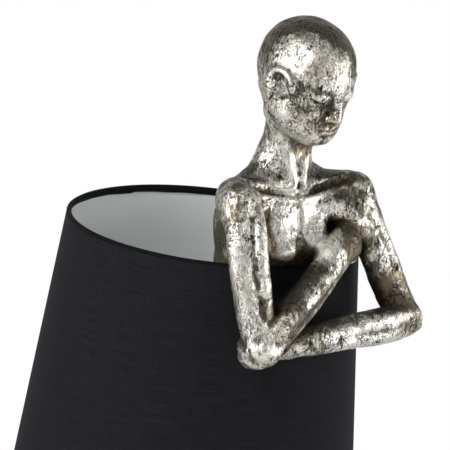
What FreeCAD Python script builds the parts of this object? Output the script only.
"""Table lamp: a standing figure folds her arms over the rim of a tilted drum shade.

Units are millimetres and degrees.  The origin is the centre of the felt under the plinth,
+Z is up, -Y is the figure's front and +X is her left.  The driving sizes stand in one
sheet; a piece takes its sizes and its place from the sheet, so pieces that meet stay met.
"""
import FreeCAD
import Part
import math
import os
import Sketcher

V = FreeCAD.Vector

# Every length in millimetres, every angle in degrees.
SIZES = {
    # plinth, what is under it and what goes through it
    "felt_thickness": 2.0,
    "felt_inset": 3.0,
    "plinth_wall": 25.0,
    "plinth_roof": 12.0,
    "cavity_depth": 16.0,
    "tier_rise": 6.0,
    "tier_inset": 9.0,
    "plate_thickness": 1.5,
    "plate_lap": 15.0,
    "plate_gap": 0.2,
    "plate_screw_radius": 1.75,
    "plate_screw_head_radius": 3.2,
    "plate_screw_length": 12.0,
    "ballast_thickness": 6.0,
    "ballast_gap": 4.0,
    "gland_bore_radius": 3.2,
    "gland_wall": 1.4,
    "gland_flange_radius": 6.5,
    "gland_flange_thickness": 2.0,
    "gland_nut_thickness": 2.5,
    "gland_nut_gap": 0.4,
    "fixing_gap": 0.1,
    # figure and its fixings
    "head_height": 94.0,
    "split_height": 438.0,
    "arm_gap": 1.0,
    "dowel_radius": 6.0,
    "dowel_length": 60.0,
    "insert_radius": 4.0,
    "insert_length": 20.0,
    "figure_screw_radius": 3.0,
    "figure_screw_head_radius": 5.0,
    "figure_screw_head_height": 4.0,
    "figure_screw_grip": 14.0,
    "washer_radius": 8.0,
    "washer_thickness": 1.2,
    # tube that carries the lampholder
    "tube_radius": 6.0,
    "tube_wall": 1.5,
    "tube_bend_radius": 90.0,
    "tube_tilted_run": 24.0,
    "tube_tail": 8.5,
    "rosette_radius": 15.0,
    "rosette_height": 5.0,
    "tube_nut_radius": 8.0,
    "tube_nut_height": 5.0,
    "tube_washer_thickness": 1.5,
    "nut_room": 6.0,
    # shade
    "shade_front_lean": 5.844,
    "shade_top_radius": 106.0,
    "shade_bottom_radius": 128.5,
    "shade_height": 240.0,
    "cover_thickness": 0.6,
    "liner_thickness": 0.5,
    "glue_gap": 0.2,
    "hem_thickness": 0.8,
    "hem_depth": 5.4,
    "ring_wire_radius": 1.3,
    "spoke_radius": 1.25,
    "fitter_ring_thickness": 2.0,
    "fitter_ring_width": 11.0,
    # lampholder, its ring and its switch
    "running_gap": 0.1,
    "holder_radius": 19.5,
    "holder_wall": 2.0,
    "holder_neck_radius": 9.0,
    "holder_neck_height": 8.0,
    "holder_cap_slope": 7.0,
    "holder_cap_height": 24.0,
    "holder_body_height": 28.0,
    "holder_skirt_height": 22.0,
    "holder_lip_height": 2.0,
    "shoulder_overhang": 3.5,
    "shoulder_height": 3.0,
    "core_height": 22.0,
    "core_overlap": 6.0,
    "core_gap": 0.2,
    "shell_wall": 0.8,
    "shell_height": 30.0,
    "contact_radius": 4.0,
    "contact_height": 3.0,
    "side_contact_width": 4.0,
    "side_contact_thickness": 1.0,
    "side_contact_height": 8.0,
    "terminal_head_radius": 2.5,
    "terminal_head_height": 2.0,
    "terminal_shank_radius": 1.4,
    "terminal_shank_length": 6.0,
    "terminal_spacing": 9.0,
    "ring_flange_overhang": 9.0,
    "ring_flange_height": 3.0,
    "ring_collar_wall": 4.5,
    "ring_height": 10.0,
    "switch_height": 33.0,
    "bushing_radius": 5.0,
    "bushing_stand_out": 5.5,
    "shaft_radius": 2.2,
    "shaft_stand_out": 14.0,
    "knob_radius": 7.0,
    "knob_length": 13.0,
    # bulb
    "bulb_ball_radius": 30.0,
    "bulb_glass_height": 82.0,
    "bulb_neck_radius": 13.0,
    "bulb_neck_height": 24.0,
    "glass_wall": 1.0,
    "bulb_cap_radius": 13.3,
    "bulb_cap_wall": 0.5,
    "bulb_insulator_height": 3.0,
    "bulb_insulator_radius": 9.0,
    "bulb_contact_radius": 4.5,
    "bulb_contact_height": 1.0,
    "stem_radius": 4.0,
    "stem_height": 32.0,
    "filament_radius": 0.9,
    "filament_length": 34.0,
    "filament_circle": 9.0,
}

# The rim of the shade passes the figure between her chest and her arms.
RIM_HEIGHT_SHARE = 5.99
RIM_FRONT_SHARE = -0.947
ANKLE_ACROSS_SHARE = 0.18
ANKLE_BACK_SHARE = -0.14
DOWEL_BACK_SHARE = -0.34
DOME_SHARES = ((0.55, 0.8), (0.85, 0.45))
BALL_SHARES = (-0.85, -0.6, -0.35, -0.12, 0.12, 0.35, 0.6, 0.85)
PLATE_SCREW_COUNT = 4
SPOKE_COUNT = 3
FILAMENT_COUNT = 4
NUT_SIDE_COUNT = 6
RING_POINT_COUNT = 12
FLATNESS_SHARE = 1e-7

# The bulb's glass: share of its height, and how far it swells from neck to ball.  Towards
# the crown it falls below the neck's radius, which is written as a negative share.
GLASS_SHARES = (
    (0.00, 0.001), (0.10, 0.06), (0.20, 0.25), (0.34, 0.62), (0.46, 0.87), (0.57, 0.98),
    (0.66, 1.00), (0.76, 0.93), (0.85, 0.72), (0.92, 0.42), (0.97, 0.04), (1.00, -0.55),
)
GLASS_POINT_COUNT = 28

# Rows of a turned trunk: height, centre's depth, half width, front, back, in head units.
PELVIS_SHARES = (
    (3.38, -0.21, 0.42, 0.25, 0.27),
    (3.60, -0.23, 0.52, 0.30, 0.31),
    (3.88, -0.25, 0.56, 0.31, 0.32),
    (4.17, -0.27, 0.51, 0.31, 0.31),
    (4.42, -0.30, 0.43, 0.30, 0.29),
)
WAIST_SHARES = (-0.33, 0.35, 0.29, 0.29)
TORSO_SHARES = (
    (4.84, -0.35, 0.33, 0.27, 0.28),
    (5.05, -0.38, 0.33, 0.26, 0.28),
    (5.32, -0.43, 0.36, 0.27, 0.30),
    (5.64, -0.48, 0.40, 0.31, 0.33),
    (5.96, -0.53, 0.43, 0.33, 0.35),
    (6.19, -0.59, 0.45, 0.32, 0.35),
    (6.40, -0.66, 0.45, 0.27, 0.30),
    (6.55, -0.70, 0.34, 0.21, 0.23),
    (6.66, -0.72, 0.21, 0.16, 0.18),
)
# Rows of a limb: across, depth, height, half width, half depth, in head units.
RIGHT_LEG_SHARES = (
    (-0.18, -0.10, 0.12, 0.11, 0.13),
    (-0.18, -0.11, 0.32, 0.11, 0.12),
    (-0.19, -0.08, 0.64, 0.12, 0.14),
    (-0.20, -0.03, 1.20, 0.18, 0.20),
    (-0.21, -0.05, 1.52, 0.19, 0.21),
    (-0.22, -0.14, 1.88, 0.16, 0.18),
    (-0.22, -0.19, 2.05, 0.17, 0.19),
    (-0.22, -0.21, 2.30, 0.19, 0.21),
    (-0.23, -0.21, 2.80, 0.24, 0.27),
    (-0.26, -0.20, 3.25, 0.28, 0.31),
    (-0.28, -0.21, 3.62, 0.28, 0.31),
    (-0.29, -0.24, 3.86, 0.24, 0.27),
)
LEFT_LEG_SHARES = (
    (0.21, -0.07, 0.12, 0.11, 0.13),
    (0.21, -0.08, 0.32, 0.11, 0.12),
    (0.21, -0.07, 0.64, 0.12, 0.14),
    (0.21, -0.08, 1.20, 0.18, 0.20),
    (0.21, -0.13, 1.52, 0.19, 0.21),
    (0.21, -0.26, 1.88, 0.16, 0.18),
    (0.21, -0.32, 2.05, 0.17, 0.19),
    (0.22, -0.31, 2.30, 0.19, 0.21),
    (0.24, -0.25, 2.80, 0.24, 0.27),
    (0.27, -0.21, 3.25, 0.28, 0.31),
    (0.28, -0.21, 3.62, 0.28, 0.31),
    (0.29, -0.24, 3.86, 0.24, 0.27),
)
FOOT_SHARES = (
    (0.00, 0.09, 0.11, 0.08, 0.11),
    (0.00, -0.03, 0.14, 0.12, 0.15),
    (0.00, -0.22, 0.14, 0.12, 0.14),
    (0.01, -0.42, 0.08, 0.15, 0.10),
    (0.02, -0.60, 0.05, 0.15, 0.08),
    (0.02, -0.69, 0.04, 0.11, 0.06),
)
NECK_SHARES = (
    (0.00, -0.68, 6.49, 0.21, 0.19),
    (0.00, -0.70, 6.70, 0.18, 0.17),
    (0.00, -0.76, 6.91, 0.17, 0.17),
    (0.00, -0.84, 7.13, 0.19, 0.19),
)
TRAPEZIUS_SHARES = (
    (-0.47, -0.74, 6.53, 0.12, 0.12),
    (-0.21, -0.70, 6.62, 0.14, 0.15),
    (0.00, -0.70, 6.66, 0.15, 0.17),
    (0.21, -0.70, 6.62, 0.14, 0.15),
    (0.47, -0.74, 6.53, 0.12, 0.12),
)
# Rows of the head along its own upright: height, forward, half width, front, back.
HEAD_SHARES = (
    (-0.40, 0.17, 0.13, 0.10, 0.12),
    (-0.30, 0.12, 0.23, 0.23, 0.24),
    (-0.17, 0.04, 0.31, 0.34, 0.36),
    (0.00, 0.00, 0.35, 0.40, 0.42),
    (0.14, -0.01, 0.34, 0.39, 0.41),
    (0.27, -0.02, 0.27, 0.31, 0.34),
    (0.35, -0.03, 0.18, 0.21, 0.24),
)
NOSE_SHARES = (
    (0.00, -0.38, -0.02, 0.04, 0.05),
    (0.00, -0.40, -0.12, 0.04, 0.05),
    (0.00, -0.41, -0.19, 0.06, 0.05),
)
EAR_SHARES = (
    (0.33, 0.02, -0.16, 0.03, 0.06),
    (0.35, 0.03, -0.06, 0.03, 0.08),
    (0.36, 0.03, 0.02, 0.03, 0.07),
)
HEAD_PLACE_SHARES = (0.02, -0.97, 7.47)
HEAD_PITCH = 25.0
HEAD_YAW = 6.0
BREAST_SHARES = ((0.22, -0.81, 6.19, 0.17), (-0.22, -0.81, 6.19, 0.17))
BUTTOCK_SHARES = ((0.22, -0.15, 3.70, 0.24), (-0.22, -0.15, 3.70, 0.24))
# First rows of an arm, over the rim: across, depth, height, half width, half depth.
RIGHT_SHOULDER_SHARES = ((-0.53, -0.79, 6.49, 0.18, 0.17), (-0.59, -0.93, 6.38, 0.17, 0.17))
LEFT_SHOULDER_SHARES = ((0.51, -0.75, 6.49, 0.18, 0.17), (0.63, -0.88, 6.33, 0.16, 0.16))
# Rows of an arm outside the shade: across, height, stand off the shade, half width, half depth.
RIGHT_UPPER_ARM_SHARES = (
    (-0.59, 6.12, 0.05, 0.15, 0.15),
    (-0.55, 5.78, 0.07, 0.15, 0.15),
    (-0.51, 5.50, 0.14, 0.14, 0.14),
    (-0.49, 5.40, 0.17, 0.13, 0.13),
)
RIGHT_FOREARM_SHARES = (
    (-0.50, 5.41, 0.15, 0.15, 0.15),
    (-0.30, 5.59, 0.13, 0.14, 0.14),
    (-0.09, 5.77, 0.08, 0.13, 0.13),
    (0.13, 5.94, 0.04, 0.11, 0.10),
    (0.27, 6.06, 0.03, 0.09, 0.09),
)
RIGHT_HAND_SHARES = (
    (0.21, 6.00, 0.02, 0.10, 0.09),
    (0.31, 6.09, 0.01, 0.13, 0.09),
    (0.39, 6.17, -0.03, 0.12, 0.08),
    (0.46, 6.22, -0.06, 0.09, 0.06),
)
LEFT_UPPER_ARM_SHARES = (
    (0.72, 6.06, 0.07, 0.13, 0.13),
    (0.87, 5.78, 0.16, 0.13, 0.13),
    (1.00, 5.51, 0.28, 0.13, 0.13),
)
LEFT_FOREARM_SHARES = (
    (1.00, 5.49, 0.27, 0.15, 0.15),
    (0.74, 5.48, 0.18, 0.14, 0.14),
    (0.38, 5.46, 0.07, 0.13, 0.13),
    (0.04, 5.43, 0.08, 0.11, 0.11),
    (-0.20, 5.40, 0.09, 0.09, 0.08),
)
LEFT_HAND_SHARES = (
    (-0.15, 5.40, 0.08, 0.09, 0.08),
    (-0.32, 5.39, 0.07, 0.12, 0.07),
    (-0.47, 5.38, 0.05, 0.13, 0.07),
    (-0.60, 5.37, 0.05, 0.09, 0.05),
)

QUARTER_TURN = 90.0
FULL_TURN = 360.0


class Size:
    """A value together with the sheet formula that gives it."""

    def __init__(self, value, formula):
        self.value = float(value)
        self.formula = formula

    @staticmethod
    def of(number):
        return number if isinstance(number, Size) else Size(number, repr(number))

    def _joined(self, other, sign, value):
        return Size(value, f"({self.formula} {sign} {Size.of(other).formula})")

    def __add__(self, other):
        return self._joined(other, "+", self.value + Size.of(other).value)

    def __sub__(self, other):
        return self._joined(other, "-", self.value - Size.of(other).value)

    def __mul__(self, other):
        return self._joined(other, "*", self.value * Size.of(other).value)

    def __truediv__(self, other):
        return self._joined(other, "/", self.value / Size.of(other).value)

    __rmul__ = __mul__

    def angle(self):
        return f"{self.formula} * 1 deg"

    def arc_tangent(self):
        return Size(math.degrees(math.atan(self.value)), f"(atan({self.formula}) / 1 deg)")

    def function(self, name):
        value = getattr(math, name)(math.radians(self.value))
        return Size(value, f"{name}({self.angle()})")


ZERO = Size(0, "0")


class Sheet:
    """The sheet of driving sizes; its rows are attributes that hold a Size each."""

    def __init__(self, doc, sizes):
        self.cells = doc.addObject("Spreadsheet::Sheet", "Sizes")
        self.rows = 0
        for name, value in sizes.items():
            self.write(name, repr(value), value)

    def write(self, name, text, value):
        self.rows += 1
        self.cells.set(f"A{self.rows}", name.replace("_", " "))
        self.cells.set(f"B{self.rows}", text)
        self.cells.setAlias(f"B{self.rows}", name)
        setattr(self, name, Size(value, f"Sizes.{name}"))

    def derive(self, **sizes):
        for name, size in sizes.items():
            self.write(name, "=" + size.formula.replace("Sizes.", ""), size.value)


doc = FreeCAD.newDocument("TableLamp")
s = Sheet(doc, SIZES)
doc.recompute()
NODES = []


def keep(piece, label):
    """Name a finished sub-part; its label is also the name of its file."""
    piece.Label = label
    NODES.append(piece)
    return piece


def bind(piece, name, size):
    """Set one property and tie it to the sheet."""
    setattr(piece, name, size.value)
    piece.setExpression(name, size.formula)


def put(piece, x=ZERO, y=ZERO, z=ZERO, axis=None, angle=None):
    """Place a piece, turned by an angle about an axis, and tie its place to the sheet."""
    turn = FreeCAD.Rotation(axis, angle.value) if axis else FreeCAD.Rotation()
    piece.Placement = FreeCAD.Placement(V(x.value, y.value, z.value), turn)
    for name, size in (("x", x), ("y", y), ("z", z)):
        if size is not ZERO:
            piece.setExpression(f"Placement.Base.{name}", size.formula)
    if isinstance(angle, Size) and angle.formula.startswith(("Sizes", "(")):
        piece.setExpression("Placement.Rotation.Angle", angle.angle())
    return piece


def turned(name, corners):
    """A body turned about its own Z from an outline of (radius, height) corners."""
    body = doc.addObject("PartDesign::Body", name)
    plane = [item for item in body.Origin.OriginFeatures if item.Role == "XZ_Plane"]
    sketch = body.newObject("Sketcher::SketchObject", f"{name}_outline")
    sketch.AttachmentSupport = [(plane[0], "")]
    sketch.MapMode = "FlatFace"
    spots = [V(radius.value, height.value, 0) for radius, height in corners]
    for index, spot in enumerate(spots):
        following = spots[(index + 1) % len(spots)]
        sketch.addGeometry(Part.LineSegment(spot, following), False)
    for index, corner in enumerate(corners):
        following = (index + 1) % len(corners)
        sketch.addConstraint(Sketcher.Constraint("Coincident", index, 2, following, 1))
        for kind, line, size in (("DistanceX", -2, corner[0]), ("DistanceY", -1, corner[1])):
            if size is ZERO:
                sketch.addConstraint(Sketcher.Constraint("PointOnObject", index, 1, line))
                continue
            rule = Sketcher.Constraint(kind, -1, 1, index, 1, size.value)
            number = sketch.addConstraint(rule)
            sketch.setExpression(f"Constraints[{number}]", size.formula)
    turn = body.newObject("PartDesign::Revolution", f"{name}_turn")
    turn.Profile = (sketch, [""])
    turn.ReferenceAxis = (sketch, ["V_Axis"])
    turn.Angle = FULL_TURN
    return body


def disc(name, radius, height, bore=ZERO):
    """A flat round piece, with a bore if it has one."""
    return turned(name, [(bore, ZERO), (radius, ZERO), (radius, height), (bore, height)])


def rod(name, radius, height):
    """A plain cylinder along its own Z."""
    piece = doc.addObject("Part::Cylinder", name)
    bind(piece, "Radius", radius)
    bind(piece, "Height", height)
    return piece


def group(name, pieces):
    """Several like solids as one object."""
    piece = doc.addObject("Part::Compound", name)
    piece.Links = pieces
    return piece


def joined(name, pieces):
    piece = doc.addObject("Part::MultiFuse", name)
    piece.Shapes = pieces
    return piece


def cut(name, base, tools):
    """A piece with the space of the tools taken out of it."""
    piece = doc.addObject("Part::Cut", name)
    piece.Base = base
    piece.Tool = tools[0] if len(tools) == 1 else group(f"{name}_tools", tools)
    return piece


def around(count, start, radius):
    """Angles and places of pieces spaced evenly on a circle."""
    for index in range(count):
        angle = math.radians(start + index * FULL_TURN / count)
        yield angle, radius * math.cos(angle), radius * math.sin(angle)


# Places that several pieces share.  The front of the shade leans along the figure.
s.derive(
    shade_slope=(s.shade_bottom_radius - s.shade_top_radius) / s.shade_height,
)
s.derive(
    shade_tilt=s.shade_front_lean + s.shade_slope.arc_tangent(),
)
s.derive(
    tilt_sine=s.shade_tilt.function("sin"),
    tilt_cosine=s.shade_tilt.function("cos"),
    half_tilt_tangent=(s.shade_tilt / 2).function("tan"),
    plinth_height=s.cavity_depth + s.plinth_roof,
    plinth_top=s.felt_thickness + s.cavity_depth + s.plinth_roof,
)
s.derive(
    rim_centre_y=s.head_height * RIM_FRONT_SHARE + s.shade_top_radius * s.tilt_cosine,
    rim_centre_z=(s.plinth_top + s.head_height * RIM_HEIGHT_SHARE
                  + s.shade_top_radius * s.tilt_sine),
)
s.derive(
    shade_y=s.rim_centre_y + s.shade_height * s.tilt_sine,
    shade_z=s.rim_centre_z - s.shade_height * s.tilt_cosine,
    wire_level=s.hem_thickness + s.glue_gap + s.ring_wire_radius,
    holder_height=s.holder_cap_height + s.holder_body_height,
)
s.derive(
    shoulder_level=s.wire_level - s.fitter_ring_thickness / 2 - s.running_gap,
)
s.derive(
    holder_level=s.shoulder_level - s.holder_height,
)
s.derive(
    bend_level=s.holder_level - s.tube_tilted_run,
)
s.derive(
    tube_y=s.shade_y - s.bend_level * s.tilt_sine,
    bend_z=s.shade_z + s.bend_level * s.tilt_cosine,
    tube_bottom_z=s.felt_thickness + s.cavity_depth - s.tube_tail,
)
s.derive(
    cavity_radius=s.tube_y + s.tube_nut_radius + s.nut_room,
    cavity_top_z=s.felt_thickness + s.cavity_depth,
)
s.derive(
    plinth_radius=s.cavity_radius + s.plinth_wall,
    ballast_radius=s.cavity_radius - s.ballast_gap,
    plate_radius=s.cavity_radius + s.plate_lap,
    screw_circle=s.cavity_radius + s.plate_lap / 2,
    gland_radius=s.gland_bore_radius + s.gland_wall,
    gland_z=s.felt_thickness + s.cavity_depth / 2,
    ankle_x=s.head_height * ANKLE_ACROSS_SHARE,
    ankle_y=s.head_height * ANKLE_BACK_SHARE,
    shell_radius=s.bulb_cap_radius + s.running_gap,
    core_radius=s.holder_radius - s.holder_wall - s.core_gap,
    core_top=s.holder_cap_height - s.core_overlap + s.core_height,
    bulb_level=(s.holder_level + s.holder_cap_height - s.core_overlap + s.core_height
                + s.contact_height + s.running_gap),
)


def on_axis(piece, level=ZERO):
    """Seat a piece on the tilted axis of the shade, at a level above its bottom plane."""
    return put(piece, ZERO, s.shade_y - level * s.tilt_sine,
               s.shade_z + level * s.tilt_cosine, V(1, 0, 0), s.shade_tilt)


def off_axis(piece, level, out):
    """Seat a piece so that its own Z points straight out of the back of the tilted axis."""
    return put(piece, ZERO, s.shade_y - level * s.tilt_sine + out * s.tilt_cosine,
               s.shade_z + level * s.tilt_cosine + out * s.tilt_sine, V(-1, 0, 0),
               Size(QUARTER_TURN - s.shade_tilt.value,
                    f"({QUARTER_TURN} - Sizes.shade_tilt)"))


def backward(piece, y, z):
    """Lay a piece so that its own Z points to the back."""
    return put(piece, ZERO, y, z, V(-1, 0, 0), Size(QUARTER_TURN, "quarter"))


def ankles():
    """Places of the two ankles, where the figure is screwed down."""
    return ((s.ankle_x * -1, s.ankle_y), (s.ankle_x * 1, s.ankle_y))


def make_plinth():
    """Stepped round plinth with its cavity, holes and the rebate for the plate."""
    first = s.plinth_height - s.tier_rise * 2
    block = turned("plinth_block", [
        (ZERO, s.cavity_depth), (ZERO, s.plinth_height),
        (s.plinth_radius - s.tier_inset * 2, s.plinth_height),
        (s.plinth_radius - s.tier_inset * 2, s.plinth_height - s.tier_rise),
        (s.plinth_radius - s.tier_inset, s.plinth_height - s.tier_rise),
        (s.plinth_radius - s.tier_inset, first),
        (s.plinth_radius, first), (s.plinth_radius, ZERO),
        (s.plate_radius + s.plate_gap, ZERO),
        (s.plate_radius + s.plate_gap, s.plate_thickness),
        (s.cavity_radius, s.plate_thickness), (s.cavity_radius, s.cavity_depth)])
    put(block, z=s.felt_thickness)
    tools = []
    hole = rod("tube_hole", s.tube_radius + s.fixing_gap, s.plinth_height)
    tools.append(put(hole, y=s.tube_y, z=s.felt_thickness))
    for x, y in ankles():
        hole = rod("figure_screw_hole", s.figure_screw_radius + s.fixing_gap,
                   s.plinth_height)
        tools.append(put(hole, x, y, s.felt_thickness))
    for _, x, y in around(PLATE_SCREW_COUNT, QUARTER_TURN / 2, s.screw_circle):
        hole = rod("plate_screw_hole", s.plate_screw_radius + s.fixing_gap,
                   s.plate_screw_length + s.fixing_gap)
        tools.append(put(hole, x, y, s.felt_thickness))
    hole = rod("gland_hole", s.gland_radius + s.fixing_gap,
               s.plinth_wall + s.tube_nut_radius)
    tools.append(backward(hole, s.cavity_radius - s.nut_room, s.gland_z))
    keep(cut("plinth", block, tools), "plinth")


def make_underside():
    """Felt, plate with its screws, and the ballast against the roof of the cavity."""
    keep(disc("felt_pad", s.plinth_radius - s.felt_inset, s.felt_thickness), "felt_pad")
    plate = put(disc("plate_disc", s.plate_radius, s.plate_thickness), z=s.felt_thickness)
    holes = []
    screws = []
    for _, x, y in around(PLATE_SCREW_COUNT, QUARTER_TURN / 2, s.screw_circle):
        sink = turned("screw_sink", [
            (ZERO, ZERO), (s.plate_screw_head_radius + s.fixing_gap, ZERO),
            (s.plate_screw_radius + s.fixing_gap, s.plate_thickness),
            (ZERO, s.plate_thickness)])
        holes.append(put(sink, x, y, s.felt_thickness))
        screw = turned("plate_screw", [
            (ZERO, ZERO), (s.plate_screw_head_radius, ZERO),
            (s.plate_screw_radius, s.plate_thickness),
            (s.plate_screw_radius, s.plate_screw_length), (ZERO, s.plate_screw_length)])
        screws.append(put(screw, x, y, s.felt_thickness))
    keep(cut("bottom_plate", plate, holes), "bottom_plate")
    keep(group("plate_screws", screws), "plate_screws")
    ballast = disc("ballast_block", s.ballast_radius, s.ballast_thickness)
    put(ballast, z=s.cavity_top_z - s.ballast_thickness)
    holes = [put(rod("ballast_hole", s.figure_screw_radius + s.fixing_gap,
                     s.ballast_thickness), x, y, s.cavity_top_z - s.ballast_thickness)
             for x, y in ankles()]
    notch = rod("ballast_notch", s.tube_nut_radius + s.nut_room, s.ballast_thickness)
    holes.append(put(notch, y=s.tube_y, z=s.cavity_top_z - s.ballast_thickness))
    keep(cut("ballast_disc", ballast, holes), "ballast_disc")


def make_gland():
    """Bushing through the rear wall of the plinth, with the nut that holds it."""
    inner = s.cavity_radius - s.gland_nut_gap - s.gland_nut_thickness
    length = s.plinth_radius - inner
    gland = turned("cord_gland", [
        (s.gland_bore_radius, ZERO), (s.gland_radius, ZERO), (s.gland_radius, length),
        (s.gland_flange_radius, length),
        (s.gland_flange_radius, length + s.gland_flange_thickness),
        (s.gland_bore_radius, length + s.gland_flange_thickness)])
    keep(backward(gland, inner, s.gland_z), "cord_gland")
    nut = disc("gland_nut", s.gland_flange_radius, s.gland_nut_thickness,
               s.gland_radius + s.fixing_gap)
    keep(backward(nut, inner, s.gland_z), "gland_nut")


def bent_rod(name, radius):
    """Upright run, tangent bend and tilted run, from the foot of the tube."""
    straight = s.bend_z - s.tube_bottom_z - s.tube_bend_radius * s.half_tilt_tangent
    upright = rod(f"{name}_upright", radius, straight)
    bend = doc.addObject("Part::Torus", f"{name}_bend")
    bind(bend, "Radius1", s.tube_bend_radius)
    bind(bend, "Radius2", radius)
    bend.setExpression("Angle3", s.shade_tilt.angle())
    put(bend, y=s.tube_bend_radius * -1, z=straight, axis=V(1, 1, 1),
        angle=Size(FULL_TURN / 3, "third"))
    tilted = rod(f"{name}_tilted", radius, s.tube_tilted_run + s.holder_neck_height
                 - s.tube_bend_radius * s.half_tilt_tangent)
    put(tilted, y=s.tube_bend_radius * (s.tilt_cosine - 1),
        z=straight + s.tube_bend_radius * s.tilt_sine, axis=V(1, 0, 0), angle=s.shade_tilt)
    return joined(name, [upright, bend, tilted])


def make_tube():
    """Steel tube: upright from the plinth, then bent to the tilt of the shade."""
    tube = cut("lamp_tube", bent_rod("tube_outside", s.tube_radius),
               [bent_rod("tube_inside", s.tube_radius - s.tube_wall)])
    keep(put(tube, y=s.tube_y, z=s.tube_bottom_z), "lamp_tube")

    hole = s.tube_radius + s.fixing_gap
    rosette = turned("tube_rosette", [
        (hole, ZERO), (s.rosette_radius, ZERO),
        (s.rosette_radius, s.rosette_height * 0.4),
        (s.rosette_radius * 0.7, s.rosette_height * 0.4),
        (s.rosette_radius * 0.7, s.rosette_height), (hole, s.rosette_height)])
    keep(put(rosette, y=s.tube_y, z=s.plinth_top), "tube_rosette")
    washer = disc("tube_washer", s.tube_nut_radius + s.fixing_gap * 5,
                  s.tube_washer_thickness, hole)
    keep(put(washer, y=s.tube_y, z=s.cavity_top_z - s.tube_washer_thickness),
         "tube_washer")
    nut = doc.addObject("Part::Prism", "tube_nut_blank")
    nut.Polygon = NUT_SIDE_COUNT
    bind(nut, "Circumradius", s.tube_nut_radius)
    bind(nut, "Height", s.tube_nut_height)
    level = s.cavity_top_z - s.tube_washer_thickness - s.tube_nut_height
    put(nut, y=s.tube_y, z=level)
    bore = put(rod("tube_nut_bore", s.tube_radius + s.fixing_gap / 2, s.tube_nut_height),
               y=s.tube_y, z=level)
    keep(cut("tube_nut", nut, [bore]), "tube_nut")


def ring(centre, side, fore, across, front, back, count=RING_POINT_COUNT):
    """Corners of a section: half width across, its own half depth to each side."""
    spots = []
    for index in range(count):
        angle = math.radians(index * FULL_TURN / count)
        rise = math.sin(angle)
        depth = front if rise > 0 else back
        spots.append(centre + side * (across * math.cos(angle)) + fore * (depth * rise))
    return spots


def skinned(rings):
    """Solid through like rings of corners, with level faces where four corners allow it."""
    faces = []
    for low, high in zip(rings, rings[1:]):
        for index, near in enumerate(low):
            following = (index + 1) % len(low)
            corners = [near, low[following], high[following], high[index]]
            lift = (corners[1] - near).cross(corners[3] - near)
            twist = abs(lift.dot(corners[2] - near)) / max(lift.Length, s.fixing_gap.value)
            if twist < s.fixing_gap.value * FLATNESS_SHARE:
                faces.append(Part.Face(Part.makePolygon(corners + [near])))
                continue
            for triangle in (corners[:3], [near] + corners[2:]):
                faces.append(Part.Face(Part.makePolygon(triangle + [near])))
    for end in (rings[0], rings[-1]):
        faces.append(Part.Face(Part.makePolygon(end + end[:1])))
    solid = Part.Solid(Part.Shell(faces))
    if solid.Volume < 0:
        solid.reverse()
    return solid


def trunk(rows):
    """Solid through level sections: height, centre's depth, half width, front, back."""
    return skinned([
        ring(V(0, depth, height), V(1, 0, 0), V(0, -1, 0), across, front, back)
        for height, depth, across, front, back in rows])


def limb(rows, fore=V(0, -1, 0)):
    """Solid along a limb through sections square to it, with domed ends."""
    spots = [V(*row[:3]) for row in rows]
    last = len(rows) - 1
    ways = []
    for index in range(len(rows)):
        way = spots[min(index + 1, last)] - spots[max(index - 1, 0)]
        ways.append(way.normalize())
    sections = [(spot, way) + tuple(row[3:]) for spot, way, row in zip(spots, ways, rows)]
    dome = []
    for shift, share in DOME_SHARES:
        spot, way, across, depth = sections[0][:4]
        dome.insert(0, (spot - way * (shift * min(across, depth)), way,
                        across * share, depth * share))
    for shift, share in DOME_SHARES:
        spot, way, across, depth = sections[-1][:4]
        sections.append((spots[-1] + ways[-1] * (shift * min(rows[-1][3:])), ways[-1],
                         rows[-1][3] * share, rows[-1][4] * share))
    wires = []
    for spot, way, across, depth in dome + sections:
        side = way.cross(fore).normalize()
        front = side.cross(way).normalize()
        wires.append(ring(spot, side, front, across, depth, depth))
    return skinned(wires)


def scaled(rows, unit):
    return [tuple(share * unit for share in row) for row in rows]


def ball(row):
    """Ball of faces about a place, for a breast or a buttock."""
    x, y, z, radius = row
    rings = []
    for share in BALL_SHARES:
        across = radius * math.cos(math.radians(QUARTER_TURN * share))
        level = z + radius * math.sin(math.radians(QUARTER_TURN * share))
        rings.append(ring(V(x, y, level), V(1, 0, 0), V(0, -1, 0), across, across, across))
    return skinned(rings)


def fused(base, masses):
    """One solid of all masses; every one of them has to add to it."""
    for number, mass in enumerate(masses):
        grown = base.fuse(mass)
        if not grown.isValid() or grown.Volume <= base.Volume or len(grown.Solids) != 1:
            raise ValueError(f"mass {number} does not join the casting")
        base = grown
    return base


class ShadeWall:
    """Outer face of the shade, seen from the figure's own frame on top of the plinth."""

    def __init__(self):
        self.centre = V(0, s.rim_centre_y.value, s.rim_centre_z.value - s.plinth_top.value)
        self.up = V(0, -s.tilt_sine.value, s.tilt_cosine.value)
        self.back = V(0, s.tilt_cosine.value, s.tilt_sine.value)

    def clearance(self, spot):
        """Distance of a place outside the face, measured square to the shade's axis."""
        arm = spot - self.centre
        level = arm.dot(self.up)
        reach = math.hypot(arm.x, arm.dot(self.back))
        return reach - (s.shade_top_radius.value - s.shade_slope.value * level)

    def outside(self, rows):
        """Rows of a limb from: across, height, stand off, half width, half depth."""
        placed = []
        for x, z, stand_off, across, depth in rows:
            wanted = stand_off + depth + s.arm_gap.value
            near, far = self.centre.y, self.centre.y - 3 * s.shade_bottom_radius.value
            while near - far > s.fixing_gap.value / 100:
                middle = (near + far) / 2
                if self.clearance(V(x, middle, z)) > wanted:
                    far = middle
                else:
                    near = middle
            placed.append((x, near, z, across, depth))
        return placed


def casting(name, shape):
    """A cast piece of the figure, standing on the plinth."""
    piece = doc.addObject("Part::Feature", name)
    piece.Shape = shape
    put(piece, z=s.plinth_top)
    return keep(piece, name)


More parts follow.
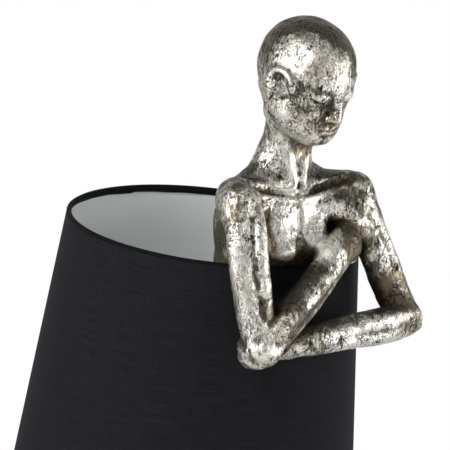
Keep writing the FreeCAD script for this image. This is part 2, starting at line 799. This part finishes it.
def head_masses(unit):
    """Skull and face, nose and ears, turned and bowed as one."""
    place = V(*[share * unit for share in HEAD_PLACE_SHARES])
    turn = (FreeCAD.Rotation(V(0, 0, 1), HEAD_YAW)
            * FreeCAD.Rotation(V(1, 0, 0), HEAD_PITCH))
    rows = scaled(HEAD_SHARES, unit)
    wires = []
    low, high = rows[0], rows[-1]
    for shift, share in reversed(DOME_SHARES):
        wires.append((low[0] - shift * low[3], low[1]) + tuple(v * share for v in low[2:]))
    wires += rows
    for shift, share in DOME_SHARES:
        wires.append((high[0] + shift * high[3] / 2, high[1])
                     + tuple(v * share for v in high[2:]))
    skull = skinned([
        ring(V(0, -forward, height), V(1, 0, 0), V(0, -1, 0), across, front, back)
        for height, forward, across, front, back in wires])
    masses = [skull, limb(scaled(NOSE_SHARES, unit))]
    for side in (1, -1):
        masses.append(limb([(side * x, y, z, across, depth) for x, y, z, across, depth
                            in scaled(EAR_SHARES, unit)]))
    for mass in masses:
        mass.Placement = FreeCAD.Placement(place, turn)
    return masses


def make_figure():
    """Two castings with a hidden joint inside the shade, and the dowel between them."""
    unit = s.head_height.value
    split = s.split_height.value
    wall = ShadeWall()
    waist = (split,) + tuple(share * unit for share in WAIST_SHARES)
    depth = DOWEL_BACK_SHARE * unit
    half = s.dowel_length.value / 2
    hole = s.dowel_radius.value + s.fixing_gap.value
    socket = Part.makeCylinder(hole, 2 * half, V(0, depth, split - half))

    legs = trunk(scaled(PELVIS_SHARES, unit) + [waist])
    masses = []
    for sign, rows in ((-1, RIGHT_LEG_SHARES), (1, LEFT_LEG_SHARES)):
        rows = scaled(rows, unit)
        ankle = rows[1]
        foot = [(ankle[0] + sign * x, ankle[1] + y, z, across, rise)
                for x, y, z, across, rise in scaled(FOOT_SHARES, unit)]
        masses += [limb(rows), limb(foot, V(0, 0, 1))]
    masses += [ball(row) for row in scaled(BUTTOCK_SHARES, unit)]
    legs = fused(legs, masses)
    box = legs.BoundBox
    ground = Part.makeBox(box.XLength, box.YLength, unit,
                          V(box.XMin, box.YMin, -unit))
    legs = legs.cut(ground).cut(socket)
    for x, y in ankles():
        legs = legs.cut(Part.makeCylinder(
            s.insert_radius.value + s.fixing_gap.value,
            s.insert_length.value + s.fixing_gap.value, V(x.value, y.value, 0)))
    casting("figure_legs", legs)

    torso = trunk([waist] + scaled(TORSO_SHARES, unit))
    masses = [limb(scaled(TRAPEZIUS_SHARES, unit), V(0, 0, 1)),
              limb(scaled(NECK_SHARES, unit))]
    masses += head_masses(unit)
    masses += [ball(row) for row in scaled(BREAST_SHARES, unit)]
    for shoulder, upper, lower, hand in (
            (RIGHT_SHOULDER_SHARES, RIGHT_UPPER_ARM_SHARES, RIGHT_FOREARM_SHARES,
             RIGHT_HAND_SHARES),
            (LEFT_SHOULDER_SHARES, LEFT_UPPER_ARM_SHARES, LEFT_FOREARM_SHARES,
             LEFT_HAND_SHARES)):
        masses.append(limb(scaled(shoulder, unit) + wall.outside(scaled(upper, unit))))
        masses.append(limb(wall.outside(scaled(lower, unit))))
        masses.append(limb(wall.outside(scaled(hand, unit))))
    casting("figure_torso", fused(torso, masses).cut(socket))

    dowel = rod("waist_dowel", s.dowel_radius,
                s.dowel_length - s.fixing_gap * 2)
    put(dowel, y=s.head_height * DOWEL_BACK_SHARE,
        z=s.plinth_top + s.split_height - s.dowel_length / 2 + s.fixing_gap)
    keep(dowel, "waist_dowel")


def make_figure_fixings():
    """Inserts in the heels, and the screws and washers that clamp figure and ballast."""
    inserts, screws, washers = [], [], []
    bore = s.figure_screw_radius + s.fixing_gap
    seat = s.cavity_top_z - s.ballast_thickness
    for x, y in ankles():
        inserts.append(put(disc("foot_insert", s.insert_radius, s.insert_length, bore),
                           x, y, s.plinth_top))
        washers.append(put(disc("figure_washer", s.washer_radius, s.washer_thickness, bore),
                           x, y, seat - s.washer_thickness))
        length = (s.figure_screw_head_height + s.washer_thickness + s.ballast_thickness
                  + s.plinth_roof + s.figure_screw_grip)
        screw = turned("figure_screw", [
            (ZERO, ZERO), (s.figure_screw_head_radius, ZERO),
            (s.figure_screw_head_radius, s.figure_screw_head_height),
            (s.figure_screw_radius, s.figure_screw_head_height),
            (s.figure_screw_radius, length), (ZERO, length)])
        screws.append(put(screw, x, y,
                          seat - s.washer_thickness - s.figure_screw_head_height))
    keep(group("foot_inserts", inserts), "foot_inserts")
    keep(group("figure_screws", screws), "figure_screws")
    keep(group("figure_washers", washers), "figure_washers")


def make_shade():
    """Tapered drum: cover, liner, turned-in hems, top wire and the carrier below."""
    inset = s.cover_thickness + s.glue_gap
    low, high = s.hem_thickness, s.shade_height - s.hem_thickness
    outer_low = s.shade_bottom_radius - s.shade_slope * low
    outer_high = s.shade_top_radius + s.shade_slope * s.hem_thickness
    cover = turned("shade_cover", [
        (outer_low - s.cover_thickness, low), (outer_low, low), (outer_high, high),
        (outer_high - s.cover_thickness, high)])
    keep(on_axis(cover), "shade_cover")
    skin = inset + s.liner_thickness
    liner = turned("shade_liner", [
        (outer_low - skin, low), (outer_low - inset, low), (outer_high - inset, high),
        (outer_high - skin, high)])
    keep(on_axis(liner), "shade_liner")

    wire = skin + s.glue_gap + s.ring_wire_radius
    roll = wire + s.ring_wire_radius + s.glue_gap + s.hem_thickness
    flange = s.shade_top_radius - roll
    top_hem = turned("top_hem", [
        (flange, s.shade_height), (s.shade_top_radius, s.shade_height),
        (outer_high, high), (flange + s.hem_thickness, high),
        (flange + s.hem_thickness, s.shade_height - s.hem_depth),
        (flange, s.shade_height - s.hem_depth)])
    keep(on_axis(top_hem), "top_hem")
    flange = s.shade_bottom_radius - roll - s.shade_slope * s.hem_depth
    bottom_hem = turned("bottom_hem_band", [
        (flange, ZERO), (s.shade_bottom_radius, ZERO), (outer_low, low),
        (flange + s.hem_thickness, low), (flange + s.hem_thickness, s.hem_depth),
        (flange, s.hem_depth)])
    spoke_angles = [angle for angle, _, _ in around(SPOKE_COUNT, QUARTER_TURN, ZERO.value)]
    notches = [spoke(f"hem_notch_{number}", angle, s.spoke_radius + s.fixing_gap * 2,
                     s.shade_bottom_radius - roll * 2, roll * 2)
               for number, angle in enumerate(spoke_angles)]
    keep(on_axis(cut("bottom_hem", bottom_hem, notches)), "bottom_hem")
    keep(on_axis(hoop("top_wire", outer_high - wire),
                 s.shade_height - s.wire_level - s.ring_wire_radius), "top_wire")

    rim = s.shade_bottom_radius - s.shade_slope * s.wire_level - wire
    rim_wire = put(hoop("bottom_wire", rim), z=s.wire_level - s.ring_wire_radius)
    bore = s.holder_radius + s.running_gap
    outer = bore + s.fitter_ring_width
    fitter = put(disc("fitter_ring", outer, s.fitter_ring_thickness, bore),
                 z=s.wire_level - s.fitter_ring_thickness / 2)
    start = outer - s.spoke_radius * 0.7
    reach = rim + s.ring_wire_radius / 3 - start
    spokes = [spoke(f"spoke_{number}", angle, s.spoke_radius, start, reach)
              for number, angle in enumerate(spoke_angles)]
    frame = joined("spider_frame", [rim_wire, fitter] + spokes)
    keep(on_axis(frame), "spider_frame")


def hoop(name, radius):
    """Ring of square wire about its own Z."""
    half = s.ring_wire_radius
    return disc(name, radius + half, half * 2, radius - half)


def spoke(name, angle, radius, start, length):
    """Round bar that leaves the shade's axis level, at an angle round it."""
    bar = rod(name, radius, length)
    side = V(-math.sin(angle), math.cos(angle), 0)
    return put(bar, start * math.cos(angle), start * math.sin(angle), s.wire_level, side,
               Size(QUARTER_TURN, "quarter"))


def make_holder():
    """Lampholder: cap, body with its shoulder and skirt, core, shell and contacts."""
    base, level = s.holder_level, s.holder_cap_height
    bore = s.tube_radius + s.fixing_gap
    inner = s.holder_radius - s.holder_wall
    slope = s.holder_neck_height + s.holder_cap_slope
    cap = turned("holder_cap", [
        (bore, ZERO), (s.holder_neck_radius, ZERO),
        (s.holder_neck_radius, s.holder_neck_height), (s.holder_radius, slope),
        (s.holder_radius, level), (inner, level), (inner, slope + s.holder_wall / 2),
        (bore, s.holder_neck_height + s.running_gap)])
    keep(on_axis(cap, base), "holder_cap")

    shoulder = s.holder_body_height
    top = shoulder + s.holder_skirt_height
    rim = s.holder_radius + s.shoulder_overhang
    tube = turned("holder_tube", [
        (inner, ZERO), (s.holder_radius, ZERO),
        (s.holder_radius, shoulder - s.shoulder_height), (rim, shoulder - s.shoulder_height),
        (rim, shoulder), (s.holder_radius, shoulder), (s.holder_radius, top),
        (s.shell_radius + s.shell_wall, top),
        (s.shell_radius + s.shell_wall, top - s.holder_lip_height),
        (inner, top - s.holder_lip_height)])
    hole = rod("bushing_hole", s.bushing_radius + s.fixing_gap, s.holder_radius)
    backward(hole, s.core_radius / 2, s.switch_height - level)
    keep(on_axis(cut("holder_body", tube, [hole]), base + level), "holder_body")

    foot = level - s.core_overlap
    block = disc("core_block", s.core_radius, s.core_height)
    bores = [put(rod("terminal_bore", s.terminal_shank_radius + s.fixing_gap,
                     s.terminal_shank_length + s.fixing_gap), s.terminal_spacing * sign)
             for sign in (-1, 1)]
    keep(on_axis(cut("holder_core", block, bores), base + foot), "holder_core")
    screws = [put(turned("terminal_screw", [
        (ZERO, ZERO), (s.terminal_head_radius, ZERO),
        (s.terminal_head_radius, s.terminal_head_height),
        (s.terminal_shank_radius, s.terminal_head_height),
        (s.terminal_shank_radius, s.terminal_head_height + s.terminal_shank_length),
        (ZERO, s.terminal_head_height + s.terminal_shank_length)]),
        s.terminal_spacing * sign) for sign in (-1, 1)]
    screws = group("terminal_screws", screws)
    keep(on_axis(screws, base + foot - s.terminal_head_height), "terminal_screws")

    shell = disc("threaded_shell", s.shell_radius + s.shell_wall, s.shell_height,
                 s.shell_radius)
    keep(on_axis(shell, base + s.core_top), "threaded_shell")
    contact = turned("centre_contact", [
        (ZERO, ZERO), (s.contact_radius * 1.6, ZERO),
        (s.contact_radius * 1.6, s.contact_height / 4), (s.contact_radius, s.contact_height),
        (ZERO, s.contact_height)])
    keep(on_axis(contact, base + s.core_top), "centre_contact")
    tab = doc.addObject("Part::Box", "side_tab")
    bind(tab, "Length", s.side_contact_width)
    bind(tab, "Width", s.side_contact_thickness)
    bind(tab, "Height", s.side_contact_height)
    put(tab, s.side_contact_width * -0.5,
        s.shell_radius * -1 - s.shell_wall - s.side_contact_thickness - s.fixing_gap)
    keep(on_axis(group("side_contact", [tab]), base + s.core_top), "side_contact")

    collar = turned("collar_ring", [
        (s.holder_radius + s.running_gap, ZERO),
        (s.holder_radius + s.ring_flange_overhang, ZERO),
        (s.holder_radius + s.ring_flange_overhang, s.ring_flange_height),
        (s.holder_radius + s.ring_collar_wall, s.ring_flange_height),
        (s.holder_radius + s.ring_collar_wall, s.ring_height),
        (s.holder_radius + s.running_gap, s.ring_height)])
    keep(on_axis(collar, s.wire_level + s.fitter_ring_thickness / 2 + s.running_gap),
         "collar_ring")


def make_switch():
    """Rotary switch out of the back of the lampholder: bushing, shaft and knob."""
    level = s.holder_level + s.switch_height
    inside = s.core_radius + s.fixing_gap * 3
    face = s.holder_radius + s.bushing_stand_out
    bushing = disc("switch_bushing", s.bushing_radius, face - inside,
                   s.shaft_radius + s.running_gap)
    keep(off_axis(bushing, level, inside), "switch_bushing")
    shaft = disc("switch_shaft", s.shaft_radius, face + s.shaft_stand_out - inside)
    keep(off_axis(shaft, level, inside), "switch_shaft")
    knob = turned("switch_knob", [
        (s.shaft_radius + s.fixing_gap / 2, ZERO), (s.knob_radius, ZERO),
        (s.knob_radius, s.knob_length * 0.3), (s.knob_radius * 0.8, s.knob_length * 0.4),
        (s.knob_radius * 0.8, s.knob_length),
        (s.shaft_radius + s.fixing_gap / 2, s.knob_length)])
    keep(off_axis(knob, level, face + s.running_gap * 3), "switch_knob")


def glass_form(skin):
    """Pear-shaped envelope of the bulb, drawn in all over by a skin."""
    sections = []
    neck, ball = s.bulb_neck_radius.value - skin, s.bulb_ball_radius.value - skin
    height = s.bulb_glass_height.value - skin
    for rise, swell in GLASS_SHARES:
        radius = neck + (ball - neck) * swell if swell > 0 else neck * (1 + swell)
        sections.append(ring(V(0, 0, height * rise), V(1, 0, 0), V(0, 1, 0), radius,
                             radius, radius, GLASS_POINT_COUNT))
    return skinned(sections)


def make_bulb():
    """Screw bulb: hollow glass, cap, insulator, contact, stem and filaments."""
    level = s.bulb_level
    glass = doc.addObject("Part::Feature", "bulb_glass")
    glass.Shape = glass_form(0).cut(glass_form(s.glass_wall.value))
    keep(on_axis(glass, level + s.bulb_neck_height), "bulb_glass")
    foot = s.bulb_contact_height + s.bulb_insulator_height
    cap = turned("bulb_cap", [
        (s.bulb_cap_radius - s.bulb_cap_wall, foot), (s.bulb_cap_radius, foot),
        (s.bulb_cap_radius, s.bulb_neck_height), (s.bulb_neck_radius - s.glass_wall,
                                                  s.bulb_neck_height),
        (s.bulb_cap_radius - s.bulb_cap_wall, s.bulb_neck_height - s.bulb_cap_wall)])
    keep(on_axis(cap, level), "bulb_cap")
    insulator = turned("bulb_insulator", [
        (ZERO, ZERO), (s.bulb_insulator_radius, ZERO),
        (s.bulb_cap_radius - s.bulb_cap_wall, s.bulb_insulator_height),
        (ZERO, s.bulb_insulator_height)])
    keep(on_axis(insulator, level + s.bulb_contact_height), "bulb_insulator")
    contact = disc("bulb_contact", s.bulb_contact_radius, s.bulb_contact_height)
    keep(on_axis(contact, level), "bulb_contact")
    stem = turned("bulb_stem", [
        (ZERO, ZERO), (s.bulb_neck_radius - s.glass_wall - s.fixing_gap, ZERO),
        (s.bulb_neck_radius - s.glass_wall - s.fixing_gap, s.glass_wall),
        (s.stem_radius, s.glass_wall), (s.stem_radius, s.stem_height),
        (ZERO, s.stem_height)])
    keep(on_axis(stem, level + s.bulb_neck_height), "bulb_stem")
    bars = [put(rod("filament_bar", s.filament_radius, s.filament_length), x, y)
            for _, x, y in around(FILAMENT_COUNT, QUARTER_TURN / 2, s.filament_circle)]
    star = put(rod("filament_star", s.filament_circle + s.filament_radius * 2,
                   s.filament_radius), z=s.filament_radius * -1)
    filaments = joined("bulb_filaments", bars + [star])
    keep(on_axis(filaments, level + s.bulb_neck_height + s.stem_height
                 + s.filament_radius), "bulb_filaments")


def check_document():
    """Stop on any object that failed or any sub-part without a sound shape."""
    for item in doc.Objects:
        if "Invalid" in item.State or "Error" in item.State:
            raise ValueError(f"{item.Name}: {item.State}")
    for piece in NODES:
        shape = piece.Shape
        if shape.isNull() or not shape.isValid() or not shape.Solids:
            raise ValueError(f"{piece.Label} has no sound shape")


def write_parts():
    os.makedirs("parts", exist_ok=True)
    for piece in NODES:
        piece.Shape.exportStep(os.path.join("parts", f"{piece.Label}.step"))
        print(f"{piece.Label}: {len(piece.Shape.Solids)} solids, "
              f"{piece.Shape.Volume:.1f} mm3")


for make in (make_underside, make_plinth, make_gland, make_tube, make_figure,
             make_figure_fixings, make_shade, make_holder, make_switch, make_bulb):
    make()
doc.recompute()
check_document()
write_parts()
